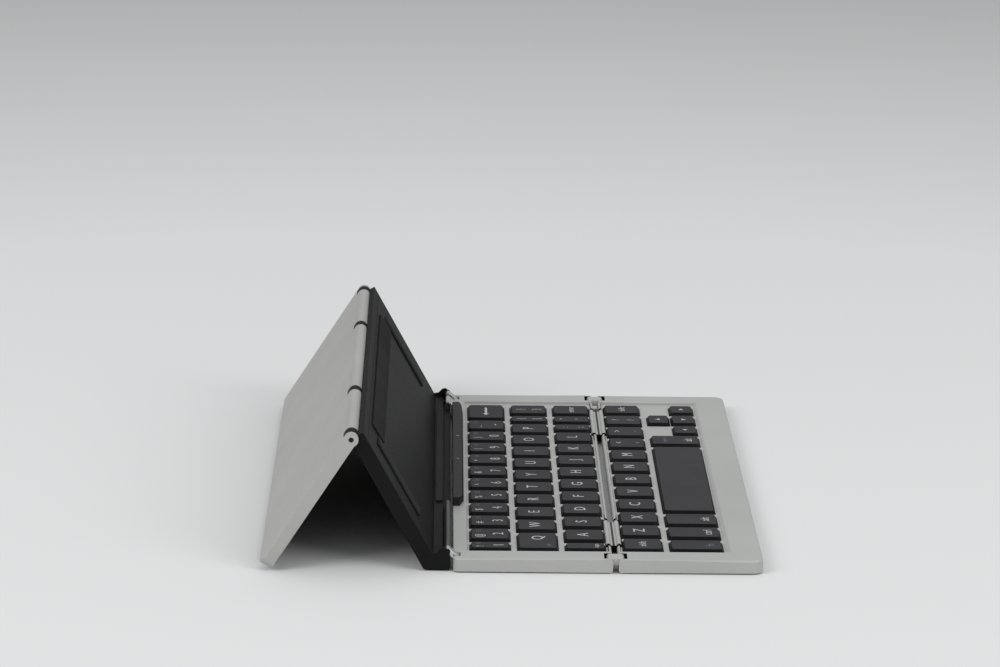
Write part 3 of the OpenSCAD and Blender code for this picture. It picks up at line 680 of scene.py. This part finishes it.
def soft_mesh(node, name, share_of, carve):
    """Mesh of a node with doubles merged and flat neighbours joined. Each sharp outer edge has its share
    of the bevel's width, and every other sharp edge is marked as sharp."""
    points, corners = triangles_of(node)
    mesh = bpy.data.meshes.new(name)
    mesh.from_pydata((points * MM).tolist(), [], corners.tolist())
    bm = bmesh.new()
    bm.from_mesh(mesh)
    bmesh.ops.remove_doubles(bm, verts=bm.verts, dist=MERGE)
    bmesh.ops.dissolve_limit(bm, angle_limit=FLAT, verts=bm.verts, edges=bm.edges)
    if carve is not None:
        carve(bm)
    weight = bm.edges.layers.float.new("bevel_weight_edge")
    angular = [e for e in bm.edges if len(e.link_faces) == 2 and e.calc_face_angle(0) > SHARP]
    for edge in angular:
        edge.smooth = False
    outer = [e for e in angular if e.is_convex]
    ends = np.array([[v.co for v in e.verts] for e in outer]) / MM
    shares = np.ones(len(outer)) if share_of is None else share_of(ends.mean(1), ends[:, 1] - ends[:, 0])
    for edge, share in zip(outer, shares):
        edge[weight] = share
        edge.smooth = bool(share > 0)
    bm.to_mesh(mesh)
    bm.free()
    mesh.polygons.foreach_set("use_smooth", np.ones(len(mesh.polygons), bool))
    return mesh


def paint_slot_shade(mesh, shade_pick):
    """Gives black painted shade to the faces that the given pick chooses from their middles and normals."""
    count = len(mesh.polygons)
    middles, normals = np.empty(3 * count), np.empty(3 * count)
    mesh.polygons.foreach_get("center", middles)
    mesh.polygons.foreach_get("normal", normals)
    picked = shade_pick(middles.reshape(-1, 3) / MM, normals.reshape(-1, 3))
    mesh.materials.append(slot_shade_black)
    mesh.polygons.foreach_set("material_index", picked.astype(np.int32))


def softened(node, name, width, material, share_of=None, segments=3, shade_pick=None, carve=None):
    """Copy of a node with a Bevel on its outer edges. share_of turns the edges' middles and directions
    into shares of the width, the pick after it chooses the faces painted black as shade, and carve moves
    points beforehand."""
    mesh = soft_mesh(node, name, share_of, carve)
    mesh.materials.append(material)
    if shade_pick is not None:
        paint_slot_shade(mesh, shade_pick)
    piece = add_object(name, mesh)
    bevel = piece.modifiers.new("soft_edges", "BEVEL")
    bevel.limit_method = "WEIGHT"
    bevel.offset_type = "WIDTH"
    bevel.width = width * MM
    bevel.segments = segments
    bevel.use_clamp_overlap = False
    bevel.harden_normals = True
    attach(piece, frame["nodes"][node]["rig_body"])
    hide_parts(node)
    return piece


def case_shares(node, corner, side):
    """Edge shares of a casing. Its outline, seen from above, is a rectangle with two round corners away
    from the fold: side is 1 where they lie at high Y. The outline's upper edge takes the whole width,
    less towards the stand, and so does the upper edge of the palm strip's slope. The outline's lower
    edge, the rim of the recess and the key holes take less, and all else stays sharp."""
    low, high = box_of(node)
    outer, fold = (high[1], low[1]) if side > 0 else (low[1], high[1])

    def shares(middle, along):
        """Share of each edge, by its place. How far inside the outline its middle lies is the corner's
        radius less the distance out from the rectangle of the corners' centres, or plus the depth
        within that rectangle."""
        x, y, z = middle.T
        past = np.stack([np.abs(x) - (high[0] - corner), side * (y - outer) + corner])
        inside = corner - np.hypot(*np.maximum(past, 0)) - np.minimum(past.max(0), 0)
        level = np.abs(along[:, 2]) < NEAR
        clear = np.abs(y - fold) > FOLD_CLEAR
        top = z > high[2] - NEAR
        bottom = z < low[2] + NEAR
        rim = level & clear & (inside < OUTLINE_NEAR)
        turned = np.clip((y - outer) / corner + 1, 0, 1) if side > 0 else 0
        recess = level & clear & (inside > RECESS_IN)
        slope = recess & top & (side < 0) & (np.abs(y - low[1] - PALM_DEPTH) < STEP_NEAR)
        hole = recess & (z > RECESS_Z - STEP_NEAR)
        return np.select([rim & top, rim & bottom, slope, recess & top, hole],
                         [1 - STAND_LOSS * turned, BASE_SHARE, 1, RECESS_SHARE, HOLE_SHARE], 0)

    return shares


def slope_palm_step(bm):
    """Turns the step from the palm strip down to the keys into a slope, by moving its foot."""
    foot_y = box_of("front_deck")[0][1] + PALM_DEPTH
    foot = [v for v in bm.verts
            if max(abs(v.co.y / MM - foot_y), abs(v.co.z / MM - RECESS_Z)) < 2 * NEAR]
    bmesh.ops.translate(bm, verts=foot, vec=(0, PALM_SLOPE * MM, 0))
    bm.normal_update()


def nose_shade_faces(node, side):
    """Faces of a casing's nose painted black as shade: the cheeks of its slots and notches."""
    low, high = box_of(node)
    fold = low[1] if side > 0 else high[1]

    def shade_pick(middle, normal):
        """Picks, near the fold, what faces along X off the silver ends, and what faces the fold from
        behind the nose's front."""
        deep = np.abs(middle[:, 1] - fold)
        inward = high[0] - np.abs(middle[:, 0])
        on_bezel = np.abs(inward - BEZEL_END) < END_CLEAR
        cheek = (np.abs(normal[:, 0]) > FACING) & (inward > END_CLEAR) & ~on_bezel
        wall = (side * normal[:, 1] < -FACING) & (deep > WALL_DEPTH)
        return (deep < NOSE_DEPTH) & (cheek | wall)

    return shade_pick


def block_end_shade(middle, normal):
    """Faces of the fold's blocks painted black as shade: their two ends, whose normal lies along X."""
    return np.abs(normal[:, 0]) > FACING


def clear_of_pin(joint, distance, lowest=0):
    """Whole shares for edges above a height and farther than a distance from a joint's axis."""
    axis = joint_place(joint)[1:]
    return lambda middle, along: (np.hypot(*(middle[:, 1:] - axis).T) > distance) & (middle[:, 2] > lowest)


softened("rear_deck", "rear_casing", CASE_EDGE, silver_paint,
         case_shares("rear_deck", REAR_CORNER, 1), 4, nose_shade_faces("rear_deck", 1))
softened("front_deck", "front_casing", CASE_EDGE, silver_paint,
         case_shares("front_deck", FRONT_CORNER, -1), 4, nose_shade_faces("front_deck", -1), slope_palm_step)
softened("tablet_bar", "tablet_stop_bar", 0.35, bar_black)
softened("leg_shell", "leg_tray", 0.8, leg_silver,
         clear_of_pin("leg_hinge", PIN_CLEAR, LEG_LOWEST))
softened("stand_body", "stand_plate_body", 0.25, stand_black,
         clear_of_pin("leg_hinge", PIN_CLEAR))
softened("stand_front_cover", "stand_plate_cover", 0.3, stand_black)
softened("stand_links", "stand_hinge_links", 0.15, bright_metal)
softened("stand_hinge_strip", "stand_knuckle_strip", 0.12, strip_tablet_shadow)
softened("fold_end_links", "fold_bridge_links", 0.2, silver_paint)
softened("fold_hinge_blocks", "fold_bridge_blocks", 0.07, gap_shade_paint, shade_pick=block_end_shade)
softened("rear_bottom_cover", "rear_base_cover", 0.2, cover_metal)
softened("front_bottom_cover", "front_base_cover", 0.2, cover_metal)
softened("rear_feet", "rear_rubber_feet", 0.15, rubber)
softened("front_feet", "front_rubber_feet", 0.15, rubber)
softened("stand_foot_pads", "stand_rubber_pads", 0.15, rubber)
softened("leg_foot", "leg_sole", 0.25, rubber)
softened("tablet_rest_pad", "tablet_rest_strip", 0.25, rubber)
softened("charge_port", "charge_socket", 0.1, steel)

for key_node in PRINTS:
    make_caps(key_node)
    make_prints(key_node)


# Small parts

def screw_grid(x, y, z, tip):
    """A countersunk screw seen from below: rings from its recess out over the head and up the shank.
    The recess is a cross, its radius swelling and shrinking with the cosine of four times the turn."""
    turn = np.radians(np.arange(0, 360, 10))
    cross = SCREW_HEAD_R * (CROSS_MEAN + CROSS_SWING * np.cos(4 * turn))
    even = np.ones_like(turn)
    radii = np.stack([SCREW_MIDDLE * even, cross * CROSS_TAPER, cross,
                      (SCREW_HEAD_R - SCREW_CHAMFER[0]) * even, SCREW_HEAD_R * even, SCREW_HEAD_R * even,
                      SCREW_SHANK_R * even, SCREW_SHANK_R * even, SCREW_MIDDLE * even])
    heights = np.array([*CROSS_DEPTH, 0, 0, SCREW_CHAMFER[1], SCREW_HEAD_T, SCREW_HEAD_T, tip - z, tip - z])
    grid = np.stack([x + radii * np.cos(turn), y + radii * np.sin(turn),
                     np.broadcast_to((z + heights)[:, None], radii.shape)], -1)
    return grid[:, ::-1]


def make_screws(node, name, body):
    """The four screws of a panel, at the corners of their node's box."""
    low, high = box_of(node)
    grids = [screw_grid(x, y, low[2], high[2])
             for x in (low[0] + SCREW_HEAD_R, high[0] - SCREW_HEAD_R)
             for y in (low[1] + SCREW_HEAD_R, high[1] - SCREW_HEAD_R)]
    points, faces = joined(map(closed_tube, grids))
    piece = new_piece(name, points, faces, body, [steel])
    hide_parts(node)


make_screws("rear_screws", "rear_case_screws", "rear_keyboard")
make_screws("front_screws", "front_case_screws", "front_keyboard")

# Place of the stand plate's lower rear corner, worked out from the upper pin
upper_pin = joint_place("stand_upper_hinge")
plate_foot = upper_pin[1:] + PIN_OUT * np.array([math.sin(PLATE_LEAN), -math.cos(PLATE_LEAN)])


def on_plate(x, up, out):
    """Points from distances up the stand plate, along its lean, and out from its rear face, square to it."""
    y = plate_foot[0] + up * math.cos(PLATE_LEAN) - out * math.sin(PLATE_LEAN)
    z = plate_foot[1] + up * math.sin(PLATE_LEAN) + out * math.cos(PLATE_LEAN)
    return np.stack(np.broadcast_arrays(x, y, z), -1)


def grip_grid(x, up):
    """A ribbed rubber strip as closed rings across it, set along X or up the plate, whichever is
    longer. Each ring's outer face stands at the thickness less the groove times one less the root of
    the rib wave."""
    long_x = x[1] - x[0] > up[1] - up[0]
    run, wide = (x, up) if long_x else (up, x)
    stations = np.arange(run[0] + GRIP_END_IN, run[1] - GRIP_END_IN, GRIP_PITCH / GRIP_STATIONS)
    wave = 0.5 - 0.5 * np.cos(2 * math.pi * (stations - run[0]) / GRIP_PITCH)
    rise = GRIP_T - GRIP_GROOVE * (1 - np.sqrt(wave))
    rise[[0, -1]] = GRIP_T * GRIP_END_SHARE
    across = np.array([wide[0], wide[0] + GRIP_EDGE_W, (wide[0] + wide[1]) / 2, wide[1] - GRIP_EDGE_W,
                       wide[1], wide[1], wide[0]])
    crown = np.array([GRIP_EDGE_SHARE, 1, 1, 1, GRIP_EDGE_SHARE, 0, 0])
    out = PLATE_T + rise[:, None] * crown
    s, w = np.broadcast_arrays(stations[:, None], across[None, :])
    grid = on_plate(s, w, out) if long_x else on_plate(w, s, out)
    return grid[:, ::-1] if long_x else grid


def make_grips():
    """Ribbed strips over the three rubber grips of the stand plate."""
    grids = [grip_grid(x, WIDE_GRIP_UP if x[1] - x[0] > GRIP_WIDE else SIDE_GRIP_UP)
             for x in x_spans("tablet_grip")]
    points, faces = joined(map(closed_tube, grids))
    piece = new_piece("tablet_grip_ribs", points, faces, "stand_plate", [rubber])
    bm = bmesh.new()
    bm.from_mesh(piece.data)
    bmesh.ops.recalc_face_normals(bm, faces=bm.faces)
    bm.to_mesh(piece.data)
    bm.free()
    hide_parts("tablet_grip")


make_grips()

# Finishes of the nodes that show as they are
PLAIN = {
    "rear_support_plate": steel, "front_support_plate": steel, "rear_membrane": membrane_film,
    "front_membrane": membrane_film, "rear_domes": dome_rubber, "front_domes": dome_rubber,
    "rear_scissors": scissor_nylon, "front_scissors": scissor_nylon, "main_board": board_green,
    "indicator_lights": lamp_lens, "rear_hinge_pins": pin_black, "front_hinge_pins": pin_black,
    "flex_cable": cable_amber, "space_bar_wire": steel, "battery": battery_wrap,
    "palm_magnets": magnet_nickel, "stand_magnets": magnet_nickel, "stand_stiffener": steel,
    "stand_hinge_pins": pin_black, "leg_liner": leg_lining,
}
for node_name, finish in PLAIN.items():
    shown = frame["nodes"][node_name].data
    shown.materials.clear()
    shown.materials.append(finish)


# Stage

def make_floor():
    """A wide pale floor with a painted pool of light round the object: it darkens a little with the
    distance from the object.
    """
    made = principled("floor_paper", FLOOR_LIT_TONE, 0.9, 0, 0.2)
    nodes, links = made.node_tree.nodes, made.node_tree.links
    place = nodes.new("ShaderNodeTexCoord")
    away = nodes.new("ShaderNodeVectorMath")
    away.operation = "LENGTH"
    span = nodes.new("ShaderNodeMapRange")
    span.inputs["From Min"].default_value = FLOOR_LIGHT_FALLOFF[0]
    span.inputs["From Max"].default_value = FLOOR_LIGHT_FALLOFF[1]
    links.new(place.outputs["Object"], away.inputs[0])
    links.new(away.outputs["Value"], span.inputs["Value"])
    vary_colour(made, span.outputs["Result"], FLOOR_LIT_TONE, FLOOR_DIM_TONE, 0, 1)
    n = FLOOR_CELLS + 1
    side = np.linspace(-FLOOR_HALF, FLOOR_HALF, n)
    x, y = np.meshgrid(side, side, indexing="ij")
    points = np.stack([x, y, np.zeros_like(x)], -1).reshape(-1, 3)
    i = (np.arange(FLOOR_CELLS)[:, None] * n + np.arange(FLOOR_CELLS)[None, :]).ravel()
    mesh = bpy.data.meshes.new("floor")
    mesh.from_pydata(points.tolist(), [], np.column_stack([i, i + n, i + n + 1, i + 1]).tolist())
    mesh.materials.append(made)
    floor = add_object("floor", mesh)


def make_light(name, place, watts):
    """A soft square light, aimed at the origin, that the camera doesn't see."""
    lamp = bpy.data.lights.new(name, "AREA")
    lamp.size = LAMP_SIZE
    lamp.energy = watts
    holder = add_object(name, lamp)
    holder.rotation_mode = "QUATERNION"
    holder.rotation_quaternion = Vector(place).to_track_quat("Z", "Y")
    holder.location = place
    holder.visible_camera = False


def make_world():
    """Pale surroundings, dimmer towards the horizon than overhead."""
    world = bpy.data.worlds.new("studio")
    world.use_nodes = True
    nodes, links = world.node_tree.nodes, world.node_tree.links
    back = nodes["Background"]
    back.inputs["Color"].default_value = SKY
    place = nodes.new("ShaderNodeTexCoord")
    parts = nodes.new("ShaderNodeSeparateXYZ")
    rise = nodes.new("ShaderNodeMapRange")
    rise.inputs["From Max"].default_value = SKY_HEIGHT
    rise.inputs["To Min"].default_value = HORIZON_STRENGTH
    rise.inputs["To Max"].default_value = SKY_STRENGTH
    links.new(place.outputs["Generated"], parts.inputs["Vector"])
    links.new(parts.outputs["Z"], rise.inputs["Value"])
    links.new(rise.outputs["Result"], back.inputs["Strength"])
    bpy.context.scene.world = world


def make_camera():
    """Camera from its place and its turn, tilt and roll: forward, right and up are worked out in turn."""
    c, s = math.cos, math.sin
    forward = np.array([c(CAMERA_TURN) * c(CAMERA_TILT), -s(CAMERA_TURN) * c(CAMERA_TILT), -s(CAMERA_TILT)])
    level = np.array([-s(CAMERA_TURN), -c(CAMERA_TURN), 0])
    rise = np.cross(level, forward)
    right = c(CAMERA_ROLL) * level + s(CAMERA_ROLL) * rise
    up = -s(CAMERA_ROLL) * level + c(CAMERA_ROLL) * rise
    lens = bpy.data.cameras.new("camera")
    lens.sensor_width = SENSOR
    lens.lens = FOCAL_PIXELS / IMAGE_WIDTH * SENSOR
    lens.clip_start, lens.clip_end = CAMERA_CLIP
    camera = add_object("camera", lens)
    placed = np.eye(4)
    placed[:3, :3] = np.column_stack([right, up, -forward])
    placed[:3, 3] = np.array(CAMERA_PLACE) * MM
    camera.matrix_world = Matrix(placed)
    bpy.context.scene.camera = camera


make_floor()
for lamp_name, (lamp_place, lamp_watts) in LAMPS.items():
    make_light(lamp_name, lamp_place, lamp_watts)
make_world()
make_camera()
bpy.context.scene.view_settings.view_transform = "Standard"
